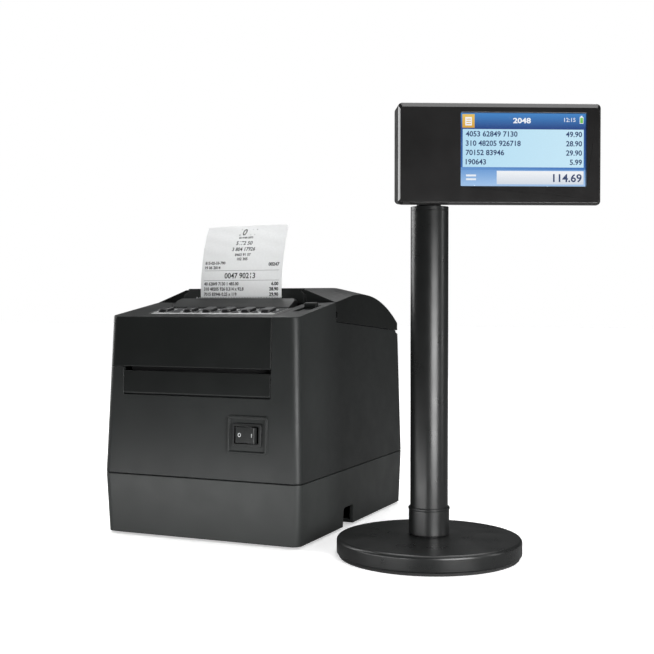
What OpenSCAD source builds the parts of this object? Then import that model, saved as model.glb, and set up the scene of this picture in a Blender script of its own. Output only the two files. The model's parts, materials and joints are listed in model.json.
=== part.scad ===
// Receipt printer cash register with a separate customer display on a pole.
// Units are millimetres. X points right as seen by a person facing the front, Y points to the
// back and Z points up. The origin is the middle of the base of the whole set.

/* [Printer case] */
// Width of the case at the seam between its two halves
case_w = 149; // [145:0.5:153]
// Depth of the case
case_d = 194; // [192:0.5:198]
// Height of the seam between the lower case and the upper housing
seam_z = 42; // [40:0.5:44]
// Height of the top deck at its front edge
deck_z = 149.3; // [147:0.1:151]
// How far each side leans in between the seam and the deck
side_taper = 3.4; // [2:0.1:4]
// How far the front leans back between the seam and the deck
front_lean = 4.8; // [3:0.1:6]
// Thickness of the moulded walls
wall = 2.5; // [2:0.1:3]
// Radius of the two front corners
corner_r = 6; // [4:0.5:8]

/* [Deck and covers] */
// Slope of the top deck, in degrees
deck_angle = 8.6; // [8:0.1:9]
// Radius of the curve over the paper roll
crown_r = 135; // [130:1:140]
// Distance of the highest point of the curve from the front
crown_y = 117; // [114:1:120]
// Half width of the raised middle of the roll cover
crown_half = 48; // [46:0.5:50]
// Width of the printing paper
paper_w = 64.5; // [57:0.5:66]
// Height of the receipt above the paper exit
receipt_h = 56; // [30:1:80]

/* [Display] */
// Distance of the pole from the middle of the printer
pole_x = 153.8; // [145:0.2:175]
// Distance of the pole behind the printer's front
pole_y = 22; // [15:1:60]
// Radius of the round foot
foot_r = 58; // [54:1:64]
// Radius of the pole
pole_r = 11.8; // [11:0.1:12.5]
// Height of the underside of the display head
head_z = 219; // [180:1:260]
// Width of the display head
head_w = 125.6; // [120:0.1:135]
// Height of the display head
head_h = 62.4; // [60:0.1:68]
// Turn of the display head towards the customer, in degrees
head_yaw = 26; // [0:1:30]

/* [Hidden] */

$fn = 64;
eps = 0.01;
gap = 0.3;            // visible parting gap between mouldings
run = 0.05;           // running clearance of shafts and pins
press = 0.01;         // clearance of a pin that is held fast
hull_fn = 32;         // sides of the rounds inside a hull
slice = 0.1;          // thickness of the end slices of a lofted block
far = 400;            // longer than any part

// Case
foot_h = 1.5;
foot_taper = 1.8;
foot_lean = 1.7;
rear_corner_r = 4;
deck_y = front_lean;
crown_t = crown_y - crown_r * sin(deck_angle);
crown_cy = crown_y;
crown_cz = deck_z + (crown_t - deck_y) * tan(deck_angle) - crown_r * cos(deck_angle);
crown_rise = 4.6;
face_lean = atan(front_lean / (deck_z - seam_z));

post_x = 63;          // screw posts, on each side of the middle
post_top = foot_h + 11;
screw_at = [for (s = [-1, 1], y = [15, case_d - 14]) [s * post_x, y]];
foot_at = [for (s = [-1, 1], y = [34, case_d - 32]) [s * 56, y]];

// Cable way out of the right side, with round upper corners
way_x = case_w / 2 - foot_taper - 8;
way_y0 = 76;
way_y1 = 94;
way_h = 15;
way_r = 3;

// Main board, its sockets and the power inlet
board_half = 57;
board_low = foot_h + 8.5;
board_top = board_low + 1.6;
port_d = 18;
port_at = [[-36, 16, 13.5], [-16, 16, 13.5], [4, 12, 11]];  // middle, width and height
inlet_x = 28;
inlet_z = board_top + 6;

// Parting lines
cover_right = 52.5;   // right edge of the front cover
cover_rear = 67.2;    // rear edge of the front cover
slot_up = 114.6 - seam_z;
side_seam_front = 145.2;
side_seam_rear = 136;
bay_left = -59.4;
bay_right = 52.6;
bay_low = 96.2 - seam_z;
ledge_half = 47.6;    // recess of the keypad panel, in the deck's own frame
panel_y0 = 12.6;
panel_y1 = 37.6;
door_h = 16;
door_pin_r = 1;
door_axis_in = 1.65;
door_axis_up = bay_low + gap + door_axis_in;

// Paper path
path_y = 61.5;        // front face of the paper at the print line
paper_t = 0.3;
roll_r = 29;
roll_y = 122;
roll_z = 98;
bucket_r = roll_r + 3;
platen_r = 6;
platen_y = path_y + paper_t + 0.4 + platen_r;
platen_z = 150;
shaft_r = 2.5;
exit_z = 161;
curl_r = 110;
curl_z = exit_z + 4;
curl_angle = (receipt_h - 4) / curl_r * 180 / PI;

// Tangent from the foot of the vertical path to the roll, held just clear of it
web_low_z = 139;
web_dy = roll_y - path_y;
web_dz = roll_z - web_low_z;
web_d = sqrt(web_dy * web_dy + web_dz * web_dz);
web_r = roll_r + 0.35;
web_a = atan2(web_dz, web_dy) + asin(web_r / web_d);
web_len = sqrt(web_d * web_d - web_r * web_r);

// Gears
gear_m = 0.8;
platen_teeth = 16;
idler_teeth = 26;
pinion_teeth = 12;
gear_x = 43.6;
gear_w = 3.6;
idler_dir = 255;      // direction from the platen gear to the idler, in degrees
pinion_dir = 235;     // direction from the idler to the pinion
mesh_gap = 0.12;
idler_dist = gear_m * (platen_teeth + idler_teeth) / 2 + mesh_gap;
pinion_dist = gear_m * (idler_teeth + pinion_teeth) / 2 + mesh_gap;
idler_y = platen_y + idler_dist * cos(idler_dir);
idler_z = platen_z + idler_dist * sin(idler_dir);
pinion_y = idler_y + pinion_dist * cos(pinion_dir);
pinion_z = idler_z + pinion_dist * sin(pinion_dir);
idler_turn = idler_dir + 180 + 180 / idler_teeth;
idler_phase = (pinion_dir - idler_turn) * idler_teeth / 360;
pinion_turn = pinion_dir + 180 + (0.5 + idler_phase - floor(idler_phase)) * 360 / pinion_teeth;

// Roll cover and its hinge
cover_front = cover_rear + 0.8;
hinge_y = case_d - 3.5;
hinge_z = 138;
barrel_r = 3.2;
hinge_pin_r = 1.5;
barrel_half = 60;
lug_w = 4;
lug_x = barrel_half + lug_w / 2 + 0.5;
lug_room = 4.3;       // radius kept free round the lugs

// Keys
key_x = [-42, -22.5, -7.5, 7.5, 22.5, 37.5];
key_w = 8;
key_l = 12;
key_up = 1.8;
key_mid = 26;         // distance of the keys from the deck's front edge

// Release lever, in the deck's own frame
lever_x0 = 56;
lever_x1 = 66;
lever_y0 = 24;
lever_y1 = 50;
lever_pivot_y = 29;
lever_pivot_z = -3;

// Rocker switch, in the front face's own frame
switch_x = 36.4;
switch_up = 72.4 - seam_z;
switch_in = 0.7;      // the switch's own zero behind the face
rocker_in = switch_in + 3;
rocker_press = 8;
rim_w = 28.6;         // raised rim around the switch
rim_h = 24.6;
rim_t = 1.4;
rim_up = 1.3;

// Display
head_left = -21;
head_front = 14;
head_r = 2.5;
bezel_side = 1.2;     // chamfer of the bezel at the sides and below
bezel_top = 3;        // chamfer of the bezel along the top
bezel_back = 11.2;    // where the chamfer ends, in front of the pole's axis
tilt_y = 4;
tilt_z = head_z + 13;
neck_half = 13.2;
cheek_x = 17;          // outer side of the cheeks that hold the tilt pin
belly = 1.9;          // rise of the head's underside towards its back
lcd_x0 = 17.3;
lcd_x1 = 95.2;
lcd_z0 = head_z + 11.3;
lcd_z1 = head_z + 56.3;
foot_top = 13;
head_screw_at = [for (x = [head_left + 45, head_left + head_w - 11], z = [head_z + 9, head_z + head_h - 9])
    [x, z]];

// The middle of the whole set's box, measured from the middle of the printer's front
head_corner_x = max((head_left + head_w - bezel_side) * cos(head_yaw) + head_front * sin(head_yaw),
    (head_left + head_w) * cos(head_yaw) + bezel_back * sin(head_yaw));
set_right = pole_x + head_corner_x;
set_x = (set_right - case_w / 2) / 2;
set_y = (case_d + pole_y - foot_r) / 2;

charcoal = [0.13, 0.135, 0.135];
soft_black = [0.07, 0.075, 0.075];
rubber_black = [0.03, 0.03, 0.03];
steel = [0.7, 0.7, 0.72];
board_green = [0.05, 0.3, 0.15];
light_grey = [0.85, 0.85, 0.84];
paper_white = [0.95, 0.95, 0.93];

function half_w(z) = z >= seam_z
    ? case_w / 2 - side_taper * (z - seam_z) / (deck_z - seam_z)
    : case_w / 2 - foot_taper * (seam_z - z) / seam_z;
function front_y(z) = z >= seam_z
    ? front_lean * (z - seam_z) / (deck_z - seam_z)
    : foot_lean * (seam_z - z) / seam_z;
function deck_at(y) = deck_z + (y - deck_y) * tan(deck_angle);
function seam_at(y) = side_seam_front
    + (y - cover_rear) * (side_seam_rear - side_seam_front) / (case_d - cover_rear);
function arc(cy, cz, r, a0, a1, n) = [for (i = [0:n]) let (a = a0 + (a1 - a0) * i / n)
    [cy + r * cos(a), cz + r * sin(a)]];

module at_printer() translate([-set_x, -set_y, 0]) children();
module at_display() translate([pole_x - set_x, pole_y - set_y, 0]) children();
module at_head() at_display() rotate([0, 0, head_yaw]) children();
module on_face() translate([0, 0, seam_z]) rotate([-face_lean, 0, 0]) children();
module on_deck() translate([0, deck_y, deck_z]) rotate([deck_angle, 0, 0]) children();
module box(a, b) translate(a) cube(b - a);
module across(half) rotate([90, 0, 90]) linear_extrude(2 * half, center = true) children();
module rod(y, z, r, x0, x1) translate([x0, y, z]) rotate([0, 90, 0]) cylinder(r = r, h = x1 - x0);

// A block that follows the case's outer surface, drawn in by inset
module case_block(z0, z1, inset) {
    fr = max(corner_r - inset, 1);
    rr = max(rear_corner_r - inset, 1);
    hull() for (z = [z0, z1 - slice], s = [-1, 1]) {
        translate([s * (half_w(z) - inset - fr), front_y(z) + inset + fr, z])
            cylinder(r = fr, h = slice, $fn = hull_fn);
        translate([s * (half_w(z) - inset - rr), case_d - inset - rr, z])
            cylinder(r = rr, h = slice, $fn = hull_fn);
    }
}

module wall_ring(z0, z1, outer, inner) {
    difference() {
        case_block(z0, z1, outer);
        case_block(z0 - 1, z1 + 1, inner);
    }
}

// Everything under the deck and the curve over the roll, lowered by drop
module under_top(drop) {
    a1 = acos((case_d + 4 - crown_cy) / (crown_r - drop));
    across(far / 2) polygon(concat(
        [[case_d + 4, 0], [-20, 0], [-20, deck_at(-20) - drop / cos(deck_angle)]],
        arc(crown_cy, crown_cz, crown_r - drop, 90 + deck_angle, a1, 24)));
}

module upper_shell(inset) {
    intersection() {
        case_block(seam_z + gap, 172, inset);
        under_top(inset);
    }
}

// Space of the roll cover above its parting line
module roll_cover_zone(lift) {
    across(far / 2) polygon([
        [cover_rear + 0.4, seam_at(cover_rear) + lift],
        [case_d + 6, seam_at(case_d + 6) + lift],
        [case_d + 6, 220],
        [cover_rear + 0.4, 220]]);
}

module lower_case() color(charcoal) at_printer() {
    difference() {
        union() {
            difference() {
                case_block(foot_h, seam_z - gap, 0);
                case_block(foot_h + wall, seam_z + 1, wall);
            }
            wall_ring(seam_z - 4, seam_z - gap, wall - 0.3, wall + 1.4);
            wall_ring(seam_z - 1, seam_z + 3, wall + 0.1, wall + 1.4);
            for (x = [-52, 52], y = [38, 168])
                translate([x, y, foot_h + 1]) cylinder(r = 3.5, h = 7.5);
            for (p = screw_at)
                translate([p[0], p[1], foot_h + 1]) cylinder(r = 5, h = post_top - foot_h - 1);
        }
        translate([way_x, 0, 0]) rotate([90, 0, 90]) linear_extrude(20) polygon(concat(
            [[way_y0, -1], [way_y1, -1]],
            arc(way_y1 - way_r, way_h - way_r, way_r, 0, 90, 8),
            arc(way_y0 + way_r, way_h - way_r, way_r, 90, 180, 8)));
        for (p = screw_at) {
            translate([p[0], p[1], 0]) cylinder(r = 1.7, h = 20);
            translate([p[0], p[1], 0]) cylinder(r = 3.4, h = 5);
        }
        for (p = port_at)
            box([p[0] - p[1] / 2 - gap, case_d - 6, board_top - gap],
                [p[0] + p[1] / 2 + gap, case_d + 1, board_top + p[2] + gap]);
        rotate([-90, 0, 0]) translate([inlet_x, -inlet_z, case_d - 6]) cylinder(r = 5.3, h = 8);
    }
}

module rubber_feet() color(rubber_black) at_printer()
    for (p = foot_at)
        translate([p[0], p[1], 0]) cylinder(r1 = 7, r2 = 7.5, h = foot_h);

module case_screws() color(steel) at_printer()
    for (p = screw_at) translate([p[0], p[1], 0]) {
        translate([0, 0, 5 - 2.4]) difference() {
            cylinder(r = 3, h = 2.4);
            translate([0, 0, -eps]) cylinder(r = 1.4, h = 1.2, $fn = 6);
        }
        translate([0, 0, 5 - eps]) cylinder(r = 1.5, h = 22);
    }

module main_board() color(board_green) at_printer() {
    box([-board_half, 30, board_low], [board_half, case_d - 8, board_top]);
    for (c = [[-40, 60, 20, 20, 2], [0, 70, 14, 14, 1.5], [30, 60, 10, 16, 2], [30, 100, 22, 12, 6]])
        box([c[0], c[1], board_top - eps], [c[0] + c[2], c[1] + c[3], board_top + c[4]]);
    for (i = [0:4])
        translate([-50 + 9 * i, 150, board_top - eps]) cylinder(r = 3.2, h = 9);
}

module memory_module() color(soft_black) at_printer()
    box([-50, 96, board_top], [-6, 128, board_top + 12]);

module rear_ports() color(soft_black) at_printer()
    for (p = port_at) difference() {
        box([p[0] - p[1] / 2, case_d - 0.4 - port_d, board_top],
            [p[0] + p[1] / 2, case_d - 0.4, board_top + p[2]]);
        box([p[0] - p[1] / 2 + 2, case_d - 0.4 - 12, board_top + 2.5],
            [p[0] + p[1] / 2 - 2, case_d, board_top + p[2] - 2.5]);
    }

module dc_inlet() color(soft_black) at_printer() difference() {
    union() {
        box([inlet_x - 5, case_d - 18, board_top], [inlet_x + 5, case_d - 5, board_top + 11]);
        translate([inlet_x, case_d - 5 - eps, inlet_z]) rotate([-90, 0, 0]) cylinder(r = 5, h = 4.6);
    }
    translate([inlet_x, case_d - 10, inlet_z]) rotate([-90, 0, 0]) cylinder(r = 3.2, h = 20);
}

module upper_housing() color(charcoal) at_printer() {
    difference() {
        union() {
            difference() {
                upper_shell(0);
                translate([0, 0, -1]) upper_shell(wall);
                case_block(seam_z - 2, seam_z + 6, wall);
            }
            // Raised rim around the switch
            on_face() translate([switch_x, 0, switch_up]) rotate([90, 0, 0]) difference() {
                translate([0, 0, -1]) linear_extrude(1 + rim_up) rounded(rim_w, rim_h, 1.6);
                translate([0, 0, -2]) linear_extrude(3 + rim_up)
                    rounded(rim_w - 2 * rim_t, rim_h - 2 * rim_t, 0.6);
            }
            // Box of the lever recess
            intersection() {
                upper_shell(0);
                on_deck() box([lever_x0 - 2, lever_y0 - 2, -8.5], [lever_x1 + 2, lever_y1 + 2, 0]);
            }
            // Screw posts with the ribs that carry them
            for (p = screw_at) translate([p[0], p[1], post_top + 0.2]) cylinder(r = 4.4, h = 50);
            intersection() {
                case_block(seam_z + 8, 80, 1);
                for (p = screw_at)
                    translate([sign(p[0]) * 68, p[1], seam_z + 18]) cube([12, 3, 18], center = true);
            }
            // Cheeks that hold the service door's pins
            for (x = [bay_left - 2.4, bay_right + 0.4])
                on_face() box([x, 0.8, bay_low - 1], [x + 2, 6, bay_low + 6]);
        }
        // Zone of the front cover
        box([-far, -20, seam_z + slot_up], [cover_right + 0.25, cover_rear + 0.4, far]);
        difference() {
            roll_cover_zone(0);
            box([cover_right, 0, 0], [far, cover_rear + 0.4, far]);
        }
        rod(hinge_y, hinge_z, 4.6, -far, far);
        on_face() box([bay_left, -1, bay_low], [bay_right, wall + 2, slot_up + 6]);
        on_face() box([switch_x - 9.8, -2, switch_up - 6.7], [switch_x + 9.8, wall + 2, switch_up + 6.7]);
        on_deck() box([lever_x0, lever_y0, -6.5], [lever_x1, lever_y1, 1]);
        for (p = screw_at)
            translate([p[0], p[1], 12]) cylinder(r = 1.5 + run, h = 18);
        for (x = [bay_left - 2.3, bay_right - 1])
            on_face() rod(door_axis_in, door_axis_up, door_pin_r + press, x, x + 3.3);
    }
    // Ears that hold the hinge pin
    for (x = [-lug_x - lug_w / 2, lug_x - lug_w / 2]) difference() {
        union() {
            rod(hinge_y, hinge_z, 2.9, x, x + lug_w);
            box([x, hinge_y - 2.9, hinge_z - 14], [x + lug_w, case_d - wall + 0.4, hinge_z - 4.8]);
            box([x, hinge_y - 2.9, hinge_z - 6], [x + lug_w, hinge_y + 1, hinge_z]);
        }
        rod(hinge_y, hinge_z, hinge_pin_r + press, x - 1, x + lug_w + 1);
    }
}

module rounded(w, h, r) {
    polygon([for (q = [0:3], i = [0:6]) let (a = 90 * q + 15 * i,
        sx = (q == 0 || q == 3) ? 1 : -1,
        sy = q < 2 ? 1 : -1)
        [sx * (w / 2 - r) + r * cos(a), sy * (h / 2 - r) + r * sin(a)]]);
}

module front_cover() color(soft_black) at_printer() difference() {
    intersection() {
        difference() {
            upper_shell(0);
            upper_shell(wall);
        }
        box([-far, -20, seam_z + slot_up + 0.02], [cover_right, cover_rear, far]);
    }
    on_face() box([bay_left, -1, slot_up - 4], [far, 20, slot_up + 0.6]);
    on_deck() box([-ledge_half, panel_y0, -1.3], [ledge_half, panel_y1, 2]);
    on_deck() box([-ledge_half + 1.5, panel_y0 + 1.5, -9], [ledge_half - 1.5, panel_y1 - 1.5, 2]);
    box([-crown_half - 0.6, 43.6, 140], [crown_half + 0.6, far, 200]);
}

module keypad_panel() color(light_grey) at_printer() on_deck() difference() {
    box([-ledge_half + 0.2, panel_y0 + 0.2, -1.3], [ledge_half - 0.2, panel_y1 - 0.2, -0.3]);
    for (x = key_x) translate([x, key_mid, -3]) linear_extrude(6) rounded(key_w + 0.8, key_l + 0.8, 3.2);
}

// A key cap with a flange under the panel and a stem above the switch board
module key_cap(i) color(soft_black) at_printer() on_deck() translate([key_x[i], key_mid, 0]) {
    translate([0, 0, -2.6]) linear_extrude(key_up + 2.2) rounded(key_w, key_l, 3);
    translate([0, 0, key_up - 0.4 - eps]) linear_extrude(0.4 + eps) rounded(key_w - 0.8, key_l - 0.8, 2.6);
    translate([0, 0, -3.5]) linear_extrude(1) rounded(key_w + 1.6, key_l + 1.8, 3.4);
    translate([0, 0, -5.2]) cylinder(r = 1.5, h = 2.6);
}

module key_1() key_cap(0);
module key_2() key_cap(1);
module key_3() key_cap(2);
module key_4() key_cap(3);
module key_5() key_cap(4);
module key_6() key_cap(5);

module keypad_board() color(board_green) at_printer() on_deck() {
    box([-46, panel_y0, -9], [46, panel_y1 - 1, -7.4]);
    for (x = key_x) translate([x, key_mid, -7.4 - eps]) cylinder(r = 2.6, h = 1.1);
}

module cutter_cover() color(soft_black) at_printer() difference() {
    across(46.4) polygon([
        [43.9, deck_at(43.9) - 3],
        [43.9, deck_at(43.9) + 0.2],
        [45.2, deck_at(45.2) + 0.9],
        [54.8, exit_z + 0.2],
        [56, exit_z + 0.6],
        [57.2, exit_z + 0.4],
        [57.6, exit_z - 0.2],
        [57.6, deck_at(43.9) - 1],
        [55, deck_at(43.9) - 3]]);
    // Chamfered ends
    for (s = [-1, 1]) translate([s * 46.4, 50, exit_z + 1.5]) rotate([0, s * 38, 0])
        cube([3, 40, 4.4], center = true);
}

module tear_bar() color(steel) at_printer() {
    teeth = 32;
    pitch = (paper_w + 4) / teeth;
    half = (paper_w + 4) / 2;
    translate([0, 57.7 + 0.5, 0]) rotate([90, 0, 0]) linear_extrude(0.5) polygon(concat(
        [[half, exit_z - 6], [-half, exit_z - 6]],
        [for (i = [0:teeth - 1], k = [0, 1])
            [-half + (i + k / 2) * pitch, exit_z + (k == 0 ? 0.5 : 1.7)]],
        [[half, exit_z + 0.5]]));
}

// Side view of the raised middle of the roll cover, lowered by drop
function crown_outline(drop) = concat(
    [[case_d + 2, hinge_z - 10], [cover_front, hinge_z - 10], [cover_front, 167.6 - drop]],
    arc(crown_cy, crown_cz, crown_r + crown_rise - drop, 98, 55, 20));
function side_outline(drop) = concat(
    [[case_d + 2, hinge_z - 10], [cover_front, hinge_z - 10], [cover_front, deck_at(cover_front) - drop]],
    arc(crown_cy, crown_cz, crown_r - drop, 90 + deck_angle, 55, 20));

module roll_cover_block(inset) {
    intersection() {
        hull() {
            across(crown_half) polygon(crown_outline(inset));
            across(half_w(160) + 2) polygon(side_outline(inset + 0.8));
        }
        case_block(hinge_z - 8, 176, inset);
    }
}

module roll_cover() color(soft_black) at_printer() difference() {
    union() {
        difference() {
            roll_cover_block(0);
            intersection() {
                roll_cover_block(wall);
                box([-far, cover_front + wall, 0], [far, far, far]);
            }
            // Below the parting line
            across(far / 2) polygon([
                [cover_rear - 4, hinge_z - 20], [case_d + 6, hinge_z - 20],
                [case_d + 6, seam_at(case_d + 6) + 0.5], [cover_rear - 4, seam_at(cover_rear - 4) + 0.5]]);
            // Room for the platen and its gear
            box([-crown_half - 1, 40, 120], [crown_half + 1, cover_front + wall + 1, 158.6]);
        }
        // Lip behind the paper exit
        difference() {
            across(crown_half) polygon([[64.6, 157.8], [64.6, 161.4], [67.8, 168.5], [70.4, 168.6],
                [71.8, 166], [71.8, 157.8]]);
            for (s = [-1, 1]) translate([s * (crown_half + 0.8), 66, 168.6]) rotate([0, s * 40, 0])
                cube([4, 30, 8], center = true);
        }
        // Arms that carry the platen
        for (x = [-39, 36])
            box([x, platen_y - 5, platen_z - 5], [x + 3, 71, 162]);
        rod(hinge_y, hinge_z, barrel_r, -barrel_half, barrel_half);
    }
    rod(platen_y, platen_z, shaft_r + run, -far, far);
    rod(hinge_y, hinge_z, hinge_pin_r + run, -far, far);
    for (x = [-lug_x, lug_x])
        rod(hinge_y, hinge_z, lug_room, x - lug_w / 2 - 0.5, x + lug_w / 2 + 0.5);
}

module cover_hinge_pin() color(steel) at_printer()
    rod(hinge_y, hinge_z, hinge_pin_r, -barrel_half - lug_w, barrel_half + lug_w);

module platen_roller() color(rubber_black) at_printer() difference() {
    rod(platen_y, platen_z, platen_r, -34, 34);
    rod(platen_y, platen_z, shaft_r, -40, 40);
}

module platen_shaft() color(steel) at_printer() rod(platen_y, platen_z, shaft_r, -44, gear_x + gear_w + 1);

// A spur gear seen along X, with one tooth at angle turn
module gear(y, z, teeth, turn, bore) {
    pitch_r = gear_m * teeth / 2;
    tip = pitch_r + gear_m * 0.9;
    root = pitch_r - gear_m * 1.2;
    step = 360 / teeth;
    at = [0.1, 0.225, 0.3];
    out = [tip, pitch_r, root];
    translate([gear_x, 0, 0]) difference() {
        rotate([90, 0, 90]) linear_extrude(gear_w) translate([y, z]) polygon([
            for (i = [0:teeth - 1], k = [-3, -2, -1, 1, 2, 3])
                let (a = turn + (i + sign(k) * at[abs(k) - 1]) * step, r = out[abs(k) - 1])
                [r * cos(a), r * sin(a)]]);
        translate([-1, 0, 0]) rod(y, z, bore, 0, gear_w + 2);
    }
}

module platen_gear() color(light_grey) at_printer()
    gear(platen_y, platen_z, platen_teeth, idler_dir, shaft_r);

module idler_gear() color(light_grey) at_printer()
    gear(idler_y, idler_z, idler_teeth, idler_turn, 2 + run);

module motor_pinion() color(steel) at_printer() {
    gear(pinion_y, pinion_z, pinion_teeth, pinion_turn, 1.5);
    rod(pinion_y, pinion_z, 1.5, 36, gear_x + gear_w);
}

module stepper_motor() color(steel) at_printer() difference() {
    union() {
        rod(pinion_y, pinion_z, 12.5, 14, 38);
        rod(pinion_y, pinion_z, 4, 37, 40.8);
        for (s = [-1, 1]) rod(pinion_y + s * 15, pinion_z, 3, 38, 40.8);
        box([38, pinion_y - 15, pinion_z - 3], [40.8, pinion_y + 15, pinion_z + 3]);
    }
    rod(pinion_y, pinion_z, 1.5 + run, 34, 50);
}

module print_head() color(light_grey) at_printer() {
    box([-35, 58.6, 141], [35, path_y - 0.2, 153]);
    box([-35, 55.6, 141], [35, 58.6 + eps, 152]);
    for (i = [0:8]) box([-34 + i * 8.2, 50, 141], [-32.4 + i * 8.2, 55.6 + eps, 151]);
}

module mechanism_frame() color(steel) at_printer() difference() {
    union() {
        for (x = [-42.2, 41]) box([x, 46, 103], [x + 1.2, 78, 151.8]);
        box([-half_w(103) + wall + 0.3, 46, 101.8], [half_w(103) - wall - 0.3, 78, 103 + eps]);
        rod(idler_y, idler_z, 2, 41.5, gear_x + gear_w + 0.6);
    }
    // Open notches that the platen shaft drops into
    across(60) polygon([[platen_y - 3.4, platen_z - 3.4], [platen_y + 3.8, platen_z - 3.4],
        [platen_y + 6, 160], [platen_y - 4.5, 160]]);
    rod(pinion_y, pinion_z, 4 + run, 40.9, 42.5);
}

module roll_bucket() color(soft_black) at_printer() difference() {
    union() {
        rod(roll_y, roll_z, bucket_r + 2, -35.5, 35.5);
        box([-35.5, roll_y - bucket_r - 2, roll_z], [35.5, roll_y + bucket_r + 2, 126]);
        box([-half_w(126) + wall + 0.3, 84, 124], [half_w(126) - wall - 0.3, 160, 126]);
        box([-35.5, roll_y - 16, 120], [35.5, roll_y + bucket_r + 2, 142]);
    }
    rod(roll_y, roll_z, bucket_r, -33.5, 33.5);
    box([-33.5, roll_y - bucket_r, roll_z], [33.5, roll_y + bucket_r, 200]);
}

module paper_roll() color(paper_white) at_printer() difference() {
    rod(roll_y, roll_z, roll_r, -paper_w / 2, paper_w / 2);
    rod(roll_y, roll_z, 8.5, -far, far);
}

module roll_core() color([0.55, 0.42, 0.28]) at_printer() difference() {
    rod(roll_y, roll_z, 8.5, -paper_w / 2, paper_w / 2);
    rod(roll_y, roll_z, 6.5, -far, far);
}

module paper_web() color(paper_white) at_printer() across(paper_w / 2) polygon([
    [path_y, 152],
    [path_y, web_low_z],
    [path_y + web_len * cos(web_a), web_low_z + web_len * sin(web_a)],
    [path_y + web_len * cos(web_a) - paper_t * sin(web_a),
        web_low_z + web_len * sin(web_a) + paper_t * cos(web_a)],
    [path_y + paper_t, web_low_z + paper_t * (1 - sin(web_a)) / cos(web_a)],
    [path_y + paper_t, 152]]);

module receipt() color(paper_white) at_printer() across(paper_w / 2) polygon(concat(
    [[path_y, 152]],
    arc(path_y + curl_r, curl_z, curl_r, 180, 180 - curl_angle, 16),
    arc(path_y + curl_r, curl_z, curl_r - paper_t, 180 - curl_angle, 180, 16),
    [[path_y + paper_t, 152]]));

module release_lever() color(soft_black) at_printer() on_deck() difference() {
    union() {
        box([lever_x0 + 0.6, lever_pivot_y, -3.6], [lever_x1 - 0.6, lever_y1 - 1, -1.2]);
        rod(lever_pivot_y, lever_pivot_z, 2, lever_x0 + 0.6, lever_x1 - 0.6);
        // Thumb tab
        box([lever_x0 + 0.6, lever_y1 - 8, -3.6], [lever_x1 - 0.6, lever_y1 - 4, 1]);
        rod(lever_y1 - 6, 1, 2, lever_x0 + 0.6, lever_x1 - 0.6);
    }
    rod(lever_pivot_y, lever_pivot_z, 0.8 + run, 0, far);
}

module lever_pin() color(steel) at_printer() on_deck()
    rod(lever_pivot_y, lever_pivot_z, 0.8, lever_x0, lever_x1);

module service_door() color(soft_black) at_printer() on_face() difference() {
    union() {
        box([bay_left + gap, 0, door_axis_up], [bay_right - gap, 2.2, bay_low + 0.3 + door_h]);
        rod(door_axis_in, door_axis_up, 1.65, bay_left + gap, bay_right - gap);
    }
    rod(door_axis_in, door_axis_up, door_pin_r + run, -far, bay_left + 8);
    rod(door_axis_in, door_axis_up, door_pin_r + run, bay_right - 8, far);
}

module door_pins() color(steel) at_printer() on_face()
    for (x = [[bay_left - 2.2, bay_left + 7], [bay_right - 7, bay_right + 2.2]])
        rod(door_axis_in, door_axis_up, door_pin_r, x[0], x[1]);

module card_slot() color([0.2, 0.2, 0.2]) at_printer() on_face() difference() {
    union() {
        box([-42, 6.2, bay_low + 2], [-8, 34, bay_low + 14]);
        box([bay_left + 2.5, 6.2, bay_low - 1], [bay_right - 2.5, 8, slot_up + 4]);
    }
    box([-38, 5, bay_low + 7], [-12, 30, bay_low + 9.6]);
}

module switch_body() color(soft_black) at_printer() on_face() translate([switch_x, switch_in, switch_up])
    difference() {
        union() {
            rotate([90, 0, 0]) translate([0, 0, 0.8]) linear_extrude(1.2) rounded(21, 15, 1);
            box([-9.6, -0.8 - eps, -6.5], [9.6, 13, 6.5]);
            for (x = [-5, 5]) box([x - 0.4, 13 - eps, -2.4], [x + 0.4, 19, 2.4]);
        }
        box([-8.6, -4, -5.5], [8.6, 9.5, 5.5]);
        translate([0, 3, -10]) cylinder(r = 0.8 + press, h = 20);
    }

module rocker() color(soft_black) at_printer() on_face() translate([switch_x, rocker_in, switch_up])
    rotate([0, 0, -rocker_press]) difference() {
            translate([0, 0, -5.2]) linear_extrude(10.4) polygon([
                [-7.7, -5.2], [-7.1, -6.4], [0, -5.1], [7.1, -6.4], [7.7, -5.2], [7.7, -3],
                [4, 2], [-4, 2], [-7.7, -3]]);
        translate([0, 0, -10]) cylinder(r = 0.8 + run, h = 20);
    }

module rocker_pin() color(steel) at_printer() on_face() translate([switch_x, rocker_in, switch_up - 6.4])
    cylinder(r = 0.8, h = 12.8);

module foot_pad() color(rubber_black) at_display() difference() {
    cylinder(r = foot_r - 1.5, h = 2, $fn = 128);
    translate([0, 0, -1]) cylinder(r = foot_r - 9, h = 4, $fn = 128);
}

module foot_disc() color(soft_black) at_display() difference() {
    rotate_extrude($fn = 160) polygon(concat(
        [[0, foot_top + 0.8], [0, 5], [foot_r - 3, 5], [foot_r - 3, 2], [foot_r - 0.6, 2], [foot_r, 2.8]],
        arc(foot_r - 2.4, foot_top - 2.4 - 0.8, 2.4, 0, 78, 6),
        [[foot_r * 0.5, foot_top + 0.4]]));
    translate([0, 0, foot_top - 1]) cylinder(r = pole_r + run, h = 10);
    translate([0, 0, -1]) cylinder(r = 8, h = 30);
    translate([0, foot_r - 8, 7.2]) rotate([-90, 0, 0]) cylinder(r = 4, h = 20);
    box([-2.6, 6, 4], [2.6, foot_r - 7, 9.9]);
}

module foot_weight() color(steel) at_display() difference() {
    translate([0, 0, 0.6]) cylinder(r = foot_r - 9.5, h = 4.2, $fn = 96);
    cylinder(r = 6, h = 10);
}

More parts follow.
